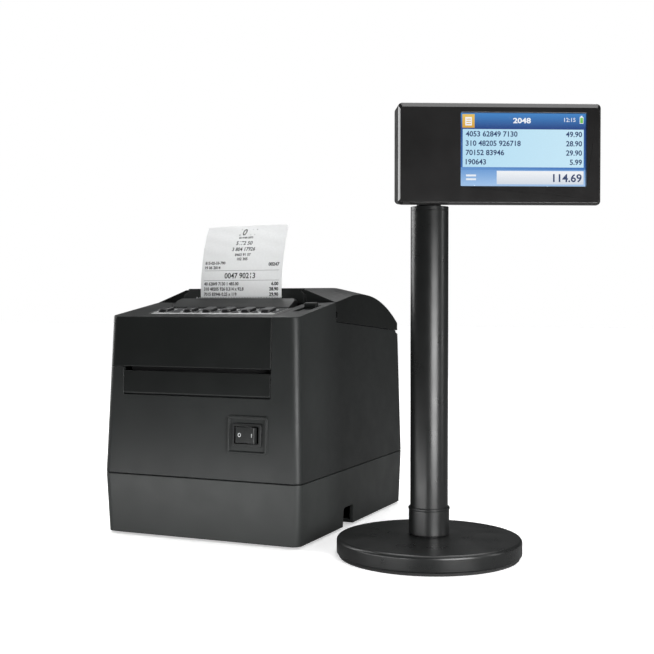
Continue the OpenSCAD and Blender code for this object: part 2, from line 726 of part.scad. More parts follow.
module foot_grommet() color(rubber_black) at_display() translate([0, foot_r - 7, 7.2]) rotate([-90, 0, 0])
    difference() {
        cylinder(r = 3.95, h = 6.6);
        translate([0, 0, -1]) cylinder(r = 2.2, h = 12);
    }

module pole_collar() color(soft_black) at_display() difference() {
    rotate_extrude($fn = 96) polygon([[0, foot_top + 0.9], [12.2, foot_top + 0.85], [12.65, foot_top + 1.4],
        [12.65, foot_top + 16.4], [13, foot_top + 16.8], [13, foot_top + 17.7], [12.6, foot_top + 18.2],
        [0, foot_top + 18.2]]);
    cylinder(r = pole_r + run, h = 50);
}

module display_pole() color(soft_black) at_display() difference() {
    translate([0, 0, foot_top - 1]) cylinder(r = pole_r, h = head_z - 3 - foot_top + 1, $fn = 96);
    cylinder(r = pole_r - 1.6, h = far, $fn = 96);
}

module swivel_ring() color(charcoal) at_head() {
    translate([0, 0, head_z - 3 + 0.05]) cylinder(r = pole_r, h = 2.4, $fn = 96);
    translate([0, 0, head_z - 18]) difference() {
        cylinder(r = pole_r - 1.6 - run, h = 15.1);
        translate([0, 0, -1]) cylinder(r = 7, h = 14);
    }
}

module tilt_neck() color(charcoal) at_head() difference() {
    union() {
        box([-7, tilt_y - 5.5, head_z - 0.55], [7, tilt_y + 5.5, tilt_z]);
        rod(tilt_y, tilt_z, 5.5, -7, 7);
    }
    rod(tilt_y, tilt_z, 2 + run, -20, 20);
}

module tilt_pin() color(steel) at_head() rod(tilt_y, tilt_z, 2, -cheek_x, cheek_x);

// Rounded plate across the head between depths y0 and y1, drawn in by the given amounts
module head_plate(y0, y1, side, low, high) {
    for (x = [head_left + side + head_r, head_left + head_w - side - head_r],
         z = [head_z + low + head_r, head_z + head_h - high - head_r])
        translate([x, y0, z]) rotate([-90, 0, 0]) cylinder(r = head_r, h = y1 - y0, $fn = hull_fn);
}

// Outside of the head's shell, with an underside that rises towards the back
module head_block() hull() {
    head_plate(-9, -8.9, 0, 0, 0);
    head_plate(9.9, 10, 0, belly, 0);
    head_plate(15.9, 16, 5, 5, 5);
}

module head_shell() color(soft_black) at_head() difference() {
    union() {
        difference() {
            head_block();
            hull() {
                head_plate(-10, -9.9, wall, wall, wall);
                head_plate(9.3, 9.4, wall, wall + belly, wall);
                head_plate(13.4, 13.5, 6.6, 6.6, 6.6);
            }
        }
        intersection() {
            box([-cheek_x, -7, head_z + 1], [cheek_x, 15, head_z + 28]);
            head_block();
        }
    }
    box([-neck_half, -4.5, head_z - 5], [neck_half, 20, head_z + 25.5]);
    rod(tilt_y, tilt_z, 2 + press, -cheek_x, cheek_x + 0.02);
    for (p = head_screw_at) translate([p[0], 0, p[1]]) rotate([-90, 0, 0]) {
        cylinder(r = 1.3, h = 20);
        translate([0, 0, 13]) cylinder(r = 2.4, h = 8);
    }
}

module head_bezel() color([0.02, 0.02, 0.022]) at_head() difference() {
    hull() {
        head_plate(-head_front, -head_front + 0.4, bezel_side, bezel_side, bezel_top);
        head_plate(-bezel_back, -9.05, 0, 0, 0);
    }
    box([head_left + wall, -11.5, head_z + wall], [head_left + head_w - wall, 0, head_z + head_h - wall]);
    box([lcd_x0, -20, lcd_z0], [lcd_x1, 0, lcd_z1]);
}

module lcd_module() color([0.1, 0.25, 0.5]) at_head()
    box([lcd_x0 - 2.5, -11.45, lcd_z0 - 2.5], [lcd_x1 + 2.5, -8.2, lcd_z1 + 2]);

module lcd_lens() color([0.5, 0.7, 0.9, 0.4]) at_head()
    box([lcd_x0 + 0.1, -13.2, lcd_z0 + 0.1], [lcd_x1 - 0.1, -11.55, lcd_z1 - 0.1]);

module display_board() color(board_green) at_head() {
    box([20, -6.4, head_z + 5], [100, -4.8, head_z + head_h - 5]);
    for (c = [[30, 20, 14], [60, 24, 10], [80, 14, 8]])
        box([c[0], -4.8 - eps, head_z + c[1]], [c[0] + c[2], -3, head_z + c[1] + c[2]]);
}

module head_screws() color(steel) at_head() for (p = head_screw_at)
    translate([p[0], 0, p[1]]) rotate([-90, 0, 0]) {
        translate([0, 0, 2]) cylinder(r = 1.25, h = 11.2);
        translate([0, 0, 13.2 - eps]) difference() {
            cylinder(r = 2.2, h = 1.6);
            translate([0, 0, 0.8]) cylinder(r = 1, h = 1, $fn = 6);
        }
    }

lower_case();
rubber_feet();
case_screws();
main_board();
memory_module();
rear_ports();
dc_inlet();
upper_housing();
front_cover();
keypad_panel();
key_1();
key_2();
key_3();
key_4();
key_5();
key_6();
keypad_board();
cutter_cover();
tear_bar();
roll_cover();
cover_hinge_pin();
platen_roller();
platen_shaft();
platen_gear();
idler_gear();
motor_pinion();
stepper_motor();
print_head();
mechanism_frame();
roll_bucket();
paper_roll();
roll_core();
paper_web();
receipt();
release_lever();
lever_pin();
service_door();
door_pins();
card_slot();
switch_body();
rocker();
rocker_pin();
foot_pad();
foot_disc();
foot_weight();
foot_grommet();
pole_collar();
display_pole();
swivel_ring();
tilt_neck();
tilt_pin();
head_shell();
head_bezel();
lcd_module();
lcd_lens();
display_board();
head_screws();
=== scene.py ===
"""Looks of a receipt printer cash register with a customer display on a pole.

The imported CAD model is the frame. Most of its parts are kept and finished here with rounded edges and
moulded-plastic, metal, rubber and board materials. The keys, receipt, display window, screen picture and
printed marks are built here in mesh code. Lengths are in metres unless a name ends in _mm.
"""

import json
from math import atan2, cos, pi, radians, sin

import bmesh
import bpy
from mathutils import Matrix, Vector


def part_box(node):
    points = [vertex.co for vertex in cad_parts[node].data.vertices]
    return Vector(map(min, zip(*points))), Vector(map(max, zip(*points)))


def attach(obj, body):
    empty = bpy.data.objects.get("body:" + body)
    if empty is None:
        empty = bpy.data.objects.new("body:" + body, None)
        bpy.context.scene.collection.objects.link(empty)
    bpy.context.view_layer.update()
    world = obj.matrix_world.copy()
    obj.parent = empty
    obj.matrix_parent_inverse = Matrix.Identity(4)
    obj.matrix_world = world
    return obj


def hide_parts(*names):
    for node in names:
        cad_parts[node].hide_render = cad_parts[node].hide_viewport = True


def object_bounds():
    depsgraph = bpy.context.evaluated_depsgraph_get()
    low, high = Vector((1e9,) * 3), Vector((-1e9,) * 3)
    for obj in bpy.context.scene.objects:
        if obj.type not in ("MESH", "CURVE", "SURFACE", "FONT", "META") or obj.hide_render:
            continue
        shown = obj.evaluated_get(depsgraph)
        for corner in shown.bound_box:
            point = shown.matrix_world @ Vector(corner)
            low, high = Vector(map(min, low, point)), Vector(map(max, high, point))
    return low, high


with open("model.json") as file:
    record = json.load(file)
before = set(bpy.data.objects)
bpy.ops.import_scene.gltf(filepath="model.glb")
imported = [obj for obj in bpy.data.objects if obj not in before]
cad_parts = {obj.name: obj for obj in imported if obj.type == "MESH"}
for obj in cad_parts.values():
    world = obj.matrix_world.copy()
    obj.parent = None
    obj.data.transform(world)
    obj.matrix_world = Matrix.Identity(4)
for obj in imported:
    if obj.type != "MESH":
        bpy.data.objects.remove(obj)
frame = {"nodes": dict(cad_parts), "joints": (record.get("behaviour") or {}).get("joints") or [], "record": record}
cad_low, cad_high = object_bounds()

NODES = frame["nodes"]
JOINTS = {joint["name"]: joint for joint in frame["joints"]}
SCENE = bpy.context.scene
MM = 0.001


# ---------------------------------------------------------------- places taken from the frame

def axes_at(origin, x_axis, z_axis):
    """A frame at origin with the given X and Z directions, which are at right angles."""
    x, z = Vector(x_axis).normalized(), Vector(z_axis).normalized()
    matrix = Matrix((x, z.cross(x), z)).transposed().to_4x4()
    matrix.translation = Vector(origin)
    return matrix


def local_box(node, matrix):
    """Lowest and highest corner of a CAD node, measured in another frame."""
    inverse = matrix.inverted()
    points = [inverse @ v.co for v in NODES[node].data.vertices]
    low = Vector([min(p[i] for p in points) for i in range(3)])
    high = Vector([max(p[i] for p in points) for i in range(3)])
    return low, high


case_low, case_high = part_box("lower_case")
case_middle = (case_low + case_high) / 2
ACROSS = Vector((1, 0, 0))
DECK = axes_at((case_middle.x, 0, 0), ACROSS, -Vector(JOINTS["key_1_press"]["axis"]))
FACE = axes_at(JOINTS["rocker_tip"]["pos_m"], ACROSS, JOINTS["rocker_tip"]["axis"])
HEAD = axes_at(JOINTS["head_swivel"]["pos_m"], -Vector(JOINTS["head_tilt"]["axis"]), (0, 0, 1))


# ---------------------------------------------------------------- materials

class Shader:
    """A Principled material with short helpers for the textures that drive it."""

    def __init__(self, name):
        self.material = bpy.data.materials.new(name)
        self.material.use_nodes = True
        self.nodes = self.material.node_tree.nodes
        self.links = self.material.node_tree.links
        self.bsdf = self.nodes["Principled BSDF"]
        self.place = self.nodes.new("ShaderNodeTexCoord").outputs["Object"]

    def set(self, **values):
        for key, value in values.items():
            self.bsdf.inputs[key.replace("_", " ")].default_value = value
        return self

    def stretched(self, scale):
        """Object coordinates scaled by a different amount along each axis."""
        node = self.nodes.new("ShaderNodeMapping")
        node.inputs["Scale"].default_value = scale
        self.links.new(self.place, node.inputs["Vector"])
        return node.outputs["Vector"]

    def noise(self, scale, detail=2.0, roughness=0.5, vector=None):
        node = self.nodes.new("ShaderNodeTexNoise")
        node.inputs["Scale"].default_value = scale
        node.inputs["Detail"].default_value = detail
        node.inputs["Roughness"].default_value = roughness
        self.links.new(vector or self.place, node.inputs["Vector"])
        return node.outputs["Fac"]

    def cell_edges(self, scale, vector):
        """Distance to the nearest border of a net of cells."""
        node = self.nodes.new("ShaderNodeTexVoronoi")
        node.feature = "DISTANCE_TO_EDGE"
        node.inputs["Scale"].default_value = scale
        self.links.new(vector, node.inputs["Vector"])
        return node.outputs["Distance"]

    def ramp(self, factor, stops):
        node = self.nodes.new("ShaderNodeValToRGB")
        elements = node.color_ramp.elements
        for index, (at, colour) in enumerate(stops):
            element = elements[index] if index < 2 else elements.new(at)
            element.position = at
            element.color = (*colour, 1)
        self.links.new(factor, node.inputs["Fac"])
        return node.outputs["Color"]

    def spread(self, factor, low, high):
        """A number from low to high as factor goes from 0.3 to 0.7."""
        node = self.nodes.new("ShaderNodeMapRange")
        for socket, value in (("From Min", 0.3), ("From Max", 0.7), ("To Min", low), ("To Max", high)):
            node.inputs[socket].default_value = value
        self.links.new(factor, node.inputs["Value"])
        return node.outputs["Result"]

    def maths(self, operation, first, second=0.0):
        node = self.nodes.new("ShaderNodeMath")
        node.operation = operation
        for socket, value in zip(node.inputs, (first, second)):
            if isinstance(value, (int, float)):
                socket.default_value = value
            else:
                self.links.new(value, socket)
        return node.outputs["Value"]

    def bump(self, height, distance, strength=1.0, base=None):
        node = self.nodes.new("ShaderNodeBump")
        node.inputs["Distance"].default_value = distance
        node.inputs["Strength"].default_value = strength
        self.links.new(height, node.inputs["Height"])
        if base is not None:
            self.links.new(base, node.inputs["Normal"])
        return node.outputs["Normal"]

    def round_edges(self, radius_mm):
        """Normal of a surface whose edges are rounded to this radius."""
        node = self.nodes.new("ShaderNodeBevel")
        node.samples = 8
        node.inputs["Radius"].default_value = radius_mm * MM
        return node.outputs["Normal"]

    def colour(self, socket):
        self.links.new(socket, self.bsdf.inputs["Base Color"])

    def roughness(self, socket):
        self.links.new(socket, self.bsdf.inputs["Roughness"])

    def normal(self, socket):
        self.links.new(socket, self.bsdf.inputs["Normal"])

    def position(self, axis, low, high):
        """0 to 1 along one axis of the object's own coordinates, from low to high."""
        split = self.nodes.new("ShaderNodeSeparateXYZ")
        self.links.new(self.place, split.inputs["Vector"])
        node = self.nodes.new("ShaderNodeMapRange")
        node.inputs["From Min"].default_value = low
        node.inputs["From Max"].default_value = high
        self.links.new(split.outputs[axis], node.inputs["Value"])
        return node.outputs["Result"]


def scaled(colour, factor):
    return tuple(min(1.0, c * factor) for c in colour)


def moulded(name, colour, rough, grain_mm=0.45, relief_mm=0.02, specular=0.4, edge_mm=0):
    """Plastic from a textured mould: fine grain, faint clouding and slightly uneven gloss."""
    s = Shader(name).set(Specular_IOR_Level=specular)
    cloud = s.noise(22, 3)
    grain = s.noise(1 / (grain_mm * MM), 3, 0.6)
    s.colour(s.ramp(s.maths("ADD", s.maths("MULTIPLY", cloud, 0.7), s.maths("MULTIPLY", grain, 0.3)),
                    [(0.3, scaled(colour, 0.86)), (0.7, scaled(colour, 1.14))]))
    s.roughness(s.spread(s.noise(60, 4), rough - 0.04, rough + 0.05))
    s.normal(s.bump(grain, relief_mm * MM, 0.55, s.round_edges(edge_mm) if edge_mm else None))
    return s.material


def glossy(name, colour, rough):
    """Polished or lacquered black: nearly even, with a faint orange peel."""
    s = Shader(name).set(Specular_IOR_Level=0.5)
    s.colour(s.ramp(s.noise(30, 3), [(0.35, scaled(colour, 0.85)), (0.65, scaled(colour, 1.2))]))
    s.roughness(s.spread(s.noise(90, 3), max(0.02, rough - 0.03), rough + 0.03))
    s.normal(s.bump(s.noise(260, 2), 0.006 * MM, 0.4))
    return s.material


def rubber(name, colour):
    s = Shader(name).set(Specular_IOR_Level=0.25)
    grain = s.noise(1400, 4, 0.7)
    s.colour(s.ramp(grain, [(0.3, scaled(colour, 0.8)), (0.7, scaled(colour, 1.3))]))
    s.roughness(s.spread(grain, 0.72, 0.88))
    s.normal(s.bump(grain, 0.03 * MM, 0.6))
    return s.material


def metal(name, colour, rough):
    """Drawn or brushed metal, with the brushing along X."""
    s = Shader(name).set(Metallic=1.0)
    streaks = s.noise(1, 3, 0.6, s.stretched((40, 1400, 1400)))
    s.colour(s.ramp(streaks, [(0.3, scaled(colour, 0.82)), (0.7, scaled(colour, 1.1))]))
    s.roughness(s.spread(streaks, rough - 0.06, rough + 0.08))
    s.normal(s.bump(streaks, 0.01 * MM, 0.5))
    return s.material


def board(name, mask, trace):
    """Solder mask over copper traces: a fine square net of lines, with lighter copper under it."""
    s = Shader(name).set(Specular_IOR_Level=0.5)
    net = s.cell_edges(260, s.stretched((1, 1, 0.02)))
    s.colour(s.ramp(net, [(0.04, trace), (0.09, mask)]))
    s.roughness(s.spread(s.noise(200), 0.3, 0.42))
    s.normal(s.bump(net, 0.03 * MM, 0.3))
    return s.material


def paper(name, colour):
    """Smooth thermal paper with a faint fibre mottle."""
    s = Shader(name).set(Specular_IOR_Level=0.25, Sheen_Weight=0.05)
    fibre = s.noise(1, 4, 0.6, s.stretched((700, 1500, 700)))
    s.colour(s.ramp(fibre, [(0.3, scaled(colour, 0.965)), (0.7, scaled(colour, 1.02))]))
    s.roughness(s.spread(fibre, 0.62, 0.74))
    s.normal(s.bump(fibre, 0.012 * MM, 0.4))
    return s.material


def wound_paper(name, colour, axis):
    """Paper wound on a core: fine rings round the axis on both ends."""
    s = Shader(name).set(Specular_IOR_Level=0.2)
    split = s.nodes.new("ShaderNodeSeparateXYZ")
    s.links.new(s.place, split.inputs["Vector"])
    dy = s.maths("SUBTRACT", split.outputs["Y"], axis.y)
    dz = s.maths("SUBTRACT", split.outputs["Z"], axis.z)
    radius = s.maths("SQRT", s.maths("ADD", s.maths("MULTIPLY", dy, dy), s.maths("MULTIPLY", dz, dz)))
    rings = s.maths("FRACT", s.maths("MULTIPLY", radius, 1 / (0.45 * MM)))
    s.colour(s.ramp(rings, [(0.0, scaled(colour, 0.78)), (0.35, colour)]))
    s.roughness(s.spread(s.noise(300), 0.65, 0.8))
    s.normal(s.bump(rings, 0.05 * MM, 0.35))
    return s.material


def ink(name, colour):
    """Printed ink, slightly uneven in tone."""
    s = Shader(name).set(Specular_IOR_Level=0.2)
    s.colour(s.ramp(s.noise(900, 3), [(0.3, scaled(colour, 0.7)), (0.7, scaled(colour, 1.35))]))
    s.roughness(s.spread(s.noise(500), 0.5, 0.65))
    return s.material


def lit(name, bottom, top, low, high, axis):
    """A backlit stretch of the screen that fades along one axis, over a fine pixel grid."""
    s = Shader(name).set(Base_Color=(0, 0, 0, 1), Roughness=0.4, Specular_IOR_Level=0.1)
    fade = s.position(axis, low, high)
    grid = s.noise(4200, 0)
    fine = s.maths("ADD", fade, s.maths("MULTIPLY", s.maths("SUBTRACT", grid, 0.5), 0.04))
    colour = s.ramp(fine, [(0.0, bottom), (1.0, top)])
    s.links.new(colour, s.bsdf.inputs["Emission Color"])
    s.bsdf.inputs["Emission Strength"].default_value = 1.0
    return s.material


def clear_glass(name):
    """A thin clear window: almost all is seen through it, with a faint reflection."""
    s = Shader(name).set(Base_Color=(0.2, 0.25, 0.32, 1), Alpha=0.05)
    s.roughness(s.spread(s.noise(150, 3), 0.04, 0.09))
    return s.material


roll_axis = Vector(JOINTS["paper_roll_spin"]["pos_m"])
M = {
    "case_charcoal": moulded("moulded_charcoal", (0.034, 0.0365, 0.0355), 0.45, specular=0.3, edge_mm=0.9),
    # Darker copy of the case plastic for the upper housing: painted shade on the upper faces
    "case_charcoal_painted_shade": moulded("moulded_charcoal_painted_shade", (0.021, 0.0228, 0.0224), 0.43, specular=0.3, edge_mm=0.9),
    "cover_black": moulded("moulded_black", (0.011, 0.0122, 0.0118), 0.4, specular=0.25, edge_mm=0.7),
    "switch_black": moulded("satin_black", (0.017, 0.018, 0.018), 0.33, 0.3, 0.01),
    "key_black": glossy("key_satin", (0.014, 0.014, 0.015), 0.3),
    "panel_silver": moulded("panel_film", (0.62, 0.63, 0.62), 0.38, 0.3, 0.006),
    "rubber": rubber("black_rubber", (0.022, 0.022, 0.022)),
    "steel": metal("brushed_steel", (0.56, 0.56, 0.58), 0.32),
    "aluminium": metal("milled_aluminium", (0.66, 0.66, 0.67), 0.38),
    "board": board("green_board", (0.012, 0.10, 0.035), (0.03, 0.20, 0.08)),
    "port_black": moulded("socket_black", (0.026, 0.026, 0.027), 0.5, 0.3, 0.01, edge_mm=0.3),
    "gear_white": moulded("natural_nylon", (0.70, 0.68, 0.62), 0.45, 0.6, 0.01),
    "pinion_brass": metal("turned_brass", (0.72, 0.52, 0.22), 0.28),
    "paper": paper("thermal_paper", (0.83, 0.84, 0.84)),
    "roll": wound_paper("wound_paper", (0.83, 0.83, 0.81), roll_axis),
    "card": moulded("core_card", (0.36, 0.26, 0.15), 0.75, 0.8, 0.05),
    "stand_black": moulded("stand_lacquer", (0.009, 0.0095, 0.0095), 0.3, 0.35, 0.012),
    "ballast": moulded("cast_ballast", (0.10, 0.10, 0.10), 0.6, 1.2, 0.1),
    "head_black": moulded("head_plastic", (0.013, 0.013, 0.0135), 0.36, 0.4, 0.015, edge_mm=0.8),
    "bezel_gloss": glossy("piano_black", (0.017, 0.0165, 0.0165), 0.16),
    "lens": clear_glass("window_glass"),
    "ink": ink("black_ink", (0.03, 0.031, 0.033)),
    "mark_white": moulded("print_white", (0.78, 0.80, 0.80), 0.45, 0.3, 0.004),
    "mark_dark": ink("print_dark", (0.03, 0.031, 0.033)),
    "contact_gold": metal("gold_contact", (0.85, 0.62, 0.25), 0.25),
    "lcd_glass": glossy("lcd_frame", (0.02, 0.03, 0.05), 0.3),
}


# ---------------------------------------------------------------- finishing the CAD nodes

SLOT_MATERIAL = {"lcd": "lcd_glass"}
# The upper housing takes the darker copy of the case plastic, which paints shade on it
NODE_MATERIAL = {"paper_roll": "roll", "upper_housing": "case_charcoal_painted_shade"}

# Radius of the moulded edges of each visible part, in millimetres
EDGE_MM = {
    "front_cover": 0.7, "service_door": 0.35, "release_lever": 0.35, "switch_body": 0.3, "rocker": 0.3,
    "head_bezel": 0.35, "keypad_panel": 0.12, "memory_module": 0.6, "roll_bucket": 0.5,
    "rear_ports": 0.3, "card_slot": 0.3, "tilt_neck": 0.5, "print_head": 0.25,
    "mechanism_frame": 0.2, "platen_roller": 0.3, "platen_shaft": 0.3, "display_pole": 0.2,
    "foot_pad": 0.3, "foot_grommet": 0.3, "rubber_feet": 0.3, "roll_core": 0.15, "paper_roll": 0.2,
}
DEFAULT_EDGE_MM = 0.08
# Meshes with corners too fine for a modifier; their materials round the edges instead
EDGES_IN_MATERIAL = {"lower_case", "upper_housing", "roll_cover", "cutter_cover", "head_shell", "dc_inlet"}
SHARP = radians(28)


def add_modifier(obj, kind, **settings):
    modifier = obj.modifiers.new(kind.lower(), kind)
    for key, value in settings.items():
        setattr(modifier, key, value)
    return modifier


def finish_edges(obj, edge):
    """Welds a CAD mesh, clears its flat faces, and rounds its edges."""
    attributes = obj.data.attributes
    if "custom_normal" in attributes:
        attributes.remove(attributes["custom_normal"])
    obj.data.shade_smooth()
    add_modifier(obj, "WELD", merge_threshold=0.004 * MM)
    if edge:
        add_modifier(obj, "DECIMATE", decimate_type="DISSOLVE", angle_limit=radians(0.4))
        add_modifier(obj, "BEVEL", width=edge, segments=3, limit_method="ANGLE", angle_limit=SHARP,
                     use_clamp_overlap=False, miter_outer="MITER_ARC")
        add_modifier(obj, "WEIGHTED_NORMAL", weight=80)
    else:
        add_modifier(obj, "EDGE_SPLIT", split_angle=SHARP)


slot_of = {row["node"]: row["material_slot"] for row in frame["record"]["subparts"]}
for name, node in NODES.items():
    slot = slot_of[name]
    key = NODE_MATERIAL.get(name, SLOT_MATERIAL.get(slot, slot))
    node.data.materials.clear()
    node.data.materials.append(M[key])
    finish_edges(node, 0 if name in EDGES_IN_MATERIAL else EDGE_MM.get(name, DEFAULT_EDGE_MM) * MM)


# ---------------------------------------------------------------- mesh tools

class Solid:
    """Collects closed shapes, each with its own material, into one mesh piece."""

    def __init__(self, name):
        self.name = name
        self.verts, self.faces, self.slots, self.materials = [], [], [], []

    def add(self, verts, faces, material):
        if material not in self.materials:
            self.materials.append(material)
        first = len(self.verts)
        self.verts += [tuple(v) for v in verts]
        self.faces += [[first + i for i in face] for face in faces]
        self.slots += [self.materials.index(material)] * len(faces)

    def prism(self, outline, bottom, top, material):
        """A closed plate: an outline in X and Y between two heights."""
        count = len(outline)
        verts = [(x, y, bottom) for x, y in outline] + [(x, y, top) for x, y in outline]
        sides = [[i, (i + 1) % count, count + (i + 1) % count, count + i] for i in range(count)]
        self.add(verts, [list(range(count))[::-1], list(range(count, 2 * count)), *sides], material)

    def loft(self, rings, material, place=lambda p: p):
        """A closed body through rings of points, with flat ends."""
        count = len(rings[0])
        verts = [place(p) for ring in rings for p in ring]
        faces = [list(range(count))[::-1], [count * (len(rings) - 1) + i for i in range(count)]]
        for row in range(len(rings) - 1):
            for i in range(count):
                j = (i + 1) % count
                faces.append([row * count + i, row * count + j, (row + 1) * count + j, (row + 1) * count + i])
        self.add(verts, faces, material)

    def piece(self, matrix, body, sharp=SHARP, edge=None):
        mesh = bpy.data.meshes.new(self.name)
        mesh.from_pydata(self.verts, [], self.faces)
        for key in self.materials:
            mesh.materials.append(M[key])
        mesh.polygons.foreach_set("material_index", self.slots)
        mesh.shade_smooth()
        mesh.set_sharp_from_angle(angle=sharp)
        mesh.update()
        obj = bpy.data.objects.new(self.name, mesh)
        SCENE.collection.objects.link(obj)
        obj.matrix_world = matrix
        if edge:
            add_modifier(obj, "BEVEL", width=edge, segments=2, limit_method="ANGLE", angle_limit=SHARP)
        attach(obj, body)
        return obj


def rectangle(x0, y0, x1, y1):
    return [(x0, y0), (x1, y0), (x1, y1), (x0, y1)]


def rounded(width, height, radius, steps=6, middle=(0, 0)):
    """Outline of a rectangle with round corners, anticlockwise."""
    points = []
    for quarter, (sx, sy) in enumerate(((1, 1), (-1, 1), (-1, -1), (1, -1))):
        for step in range(steps + 1):
            a = pi / 2 * (quarter + step / steps)
            points.append((middle[0] + sx * (width / 2 - radius) + radius * cos(a),
                           middle[1] + sy * (height / 2 - radius) + radius * sin(a)))
    return points


def numerals(text, height, thick=0.03 * MM, squeeze=1.0, slant=0.0, weight=0.0):
    """Closed solid numerals: their points, faces and total width, standing on y = 0 from x = 0."""
    curve = bpy.data.curves.new("numerals", "FONT")
    curve.body = text
    curve.size = 1
    curve.extrude = 0.5
    curve.offset = weight
    curve.shear = slant
    curve.resolution_u = 3
    obj = bpy.data.objects.new("numerals", curve)
    SCENE.collection.objects.link(obj)
    depsgraph = bpy.context.evaluated_depsgraph_get()
    mesh = bpy.data.meshes.new_from_object(obj.evaluated_get(depsgraph))
    bpy.data.objects.remove(obj)
    bpy.data.curves.remove(curve)
    cap = 0.73                       # height of a numeral of the built-in font at size 1
    scale = height / cap
    points = [(v.co.x * scale * squeeze, v.co.y * scale, (v.co.z + 0.5) * thick) for v in mesh.vertices]
    faces = [list(p.vertices) for p in mesh.polygons]
    bpy.data.meshes.remove(mesh)
    left = min(p[0] for p in points)
    points = [(x - left, y, z) for x, y, z in points]
    return points, faces, max(p[0] for p in points)


def write(solid, text, x, y, height, material, align="left", place=None, **style):
    """Adds numerals to a solid, standing at (x, y), or laid where place puts (x, y, height)."""
    points, faces, width = numerals(text, height, **style)
    start = x - {"left": 0, "middle": width / 2, "right": width}[align]
    points = [(start + px, y + py, pz) for px, py, pz in points]
    solid.add([place(*p) for p in points] if place else points, faces, material)


# ---------------------------------------------------------------- keys and the keypad's printed marks

def make_key(number):
    """A satin key cap with a soft rim, a shallow dish, its own stem and flange, in place of the CAD key."""
    node = f"key_{number}"
    low, high = local_box(node, DECK)
    middle = (low + high) / 2
    matrix = DECK @ Matrix.Translation((middle.x, middle.y, high.z))
    width, length, top_radius = 8 * MM, 12 * MM, 3 * MM
    depth = high.z - low.z
    # Height from the top and how far the ring is drawn in, in millimetres; the flange stands out by 0.8
    profile = [(-5.2, 2.4), (-3.6, 2.4), (-3.55, -0.8), (-2.75, -0.8), (-2.7, 0.02),
               (-0.9, 0.0), (-0.45, 0.08), (-0.18, 0.28), (-0.04, 0.62), (0.0, 1.05), (-0.05, 1.6),
               (-0.16, 2.2), (-0.22, 2.9)]
    rings = []
    for below, inset in profile:
        inset *= MM
        ring = rounded(width - 2 * inset, length - 2 * inset, max(top_radius - inset, 0.1 * MM))
        rings.append([(x, y, max(below * MM, -depth)) for x, y in ring])
    solid = Solid(f"{node}_cap")
    solid.loft(rings, "key_black")
    cap = solid.piece(matrix, node, sharp=radians(50))
    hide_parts(node)
    return middle


key_middles = [make_key(number) for number in range(1, 7)]


def make_panel_marks():
    """The keypad's print: a black field that leaves a silver strip in front, and marks beside each key."""
    low, high = local_box("keypad_panel", DECK)
    strip = 4.6 * MM                  # silver left in front of the black field
    side_margin, end_margin = 0.6 * MM, 0.5 * MM
    half_w, half_l = 4.9 * MM, 6.9 * MM   # half of the gap left round each key
    ink_up = 0.03 * MM
    solid = Solid("panel_print")
    holes = [(key.x, key.y) for key in key_middles]
    edges = [low.x + side_margin, *(x + side * half_w for x, _ in holes for side in (-1, 1)),
             high.x - side_margin]
    for left, right in zip(edges[::2], edges[1::2]):
        if right - left > 0.5 * MM:
            solid.prism(rectangle(left, low.y + strip, right, high.y - end_margin), 0, ink_up, "mark_dark")
    for x, y in holes:
        for back, front in ((high.y - end_margin, y + half_l), (y - half_l, low.y + strip)):
            if back > front:
                solid.prism(rectangle(x - half_w, front, x + half_w, back), 0, ink_up, "mark_dark")
    for number, (x, y) in enumerate(holes, 1):
        side = x - 5.3 * MM
        write(solid, str(number), side, y + 1.6 * MM, 2.0 * MM, "mark_white", "right", thick=2 * ink_up)
        for row in range(3):
            solid.prism(rounded((2.0 - 0.4 * row) * MM, 0.4 * MM, 0.15 * MM, 3,
                                (side - 1.2 * MM, y - (0.6 + 1.1 * row) * MM)), 0, 2 * ink_up, "mark_white")
    solid.piece(DECK @ Matrix.Translation((0, 0, high.z)), "root")


make_panel_marks()


# ---------------------------------------------------------------- rocker switch marks

def make_switch_marks():
    """The ring and bar printed on the two slopes of the rocker, which rests with one side pressed."""
    pressed = radians(8)
    ridge = -5.1 * MM                 # height of the rocker's middle line above its pin
    fall, half = 1.3 * MM, 7.1 * MM   # each slope drops by this much over this width
    tilt = atan2(fall, half)
    proud, sunk = 0.03 * MM, -0.05 * MM
    ring_outer, ring_inner, ring_squash = 1.28 * MM, 0.92 * MM, 0.86
    rocker = FACE @ Matrix.Rotation(-pressed, 4, "Z")
    for name, side in (("off_ring", -1), ("on_bar", 1)):
        reach = (4.3 if side < 0 else 5.5) * MM
        at = Vector((side * reach, ridge - fall * reach / half, 0))
        slope = rocker @ Matrix.Translation(at) @ Matrix.Rotation(-side * tilt, 4, "Z")
        upright = slope @ Matrix.Rotation(radians(90), 4, "X")
        solid = Solid(name)
        if side < 0:
            steps = 32
            rings = []
            for i in range(steps + 1):
                a = 2 * pi * i / steps
                corners = [(ring_outer, sunk), (ring_inner, sunk), (ring_inner, proud), (ring_outer, proud)]
                rings.append([(r * cos(a) * ring_squash, r * sin(a), z) for r, z in corners])
            faces = [[4 * i + k, 4 * i + (k + 1) % 4, 4 * ((i + 1) % steps) + (k + 1) % 4,
                      4 * ((i + 1) % steps) + k] for i in range(steps) for k in range(4)]
            solid.add([p for ring in rings[:-1] for p in ring], faces, "mark_white")
        else:
            solid.prism(rounded(0.42 * MM, 2.5 * MM, 0.12 * MM, 3), sunk, proud, "mark_white")
        solid.piece(upright, "rocker")


make_switch_marks()


# ---------------------------------------------------------------- display window and picture

window_low, window_high = local_box("lcd_lens", HEAD)
module_low, _ = local_box("lcd_module", HEAD)
screen_w, screen_h = window_high.x - window_low.x, window_high.z - window_low.z
# The picture's own frame: X to the right and Y up across the glass, Z towards the reader
SCREEN = (HEAD @ Matrix.Translation((window_low.x, module_low.y, window_low.z))
          @ Matrix.Rotation(radians(90), 4, "X"))


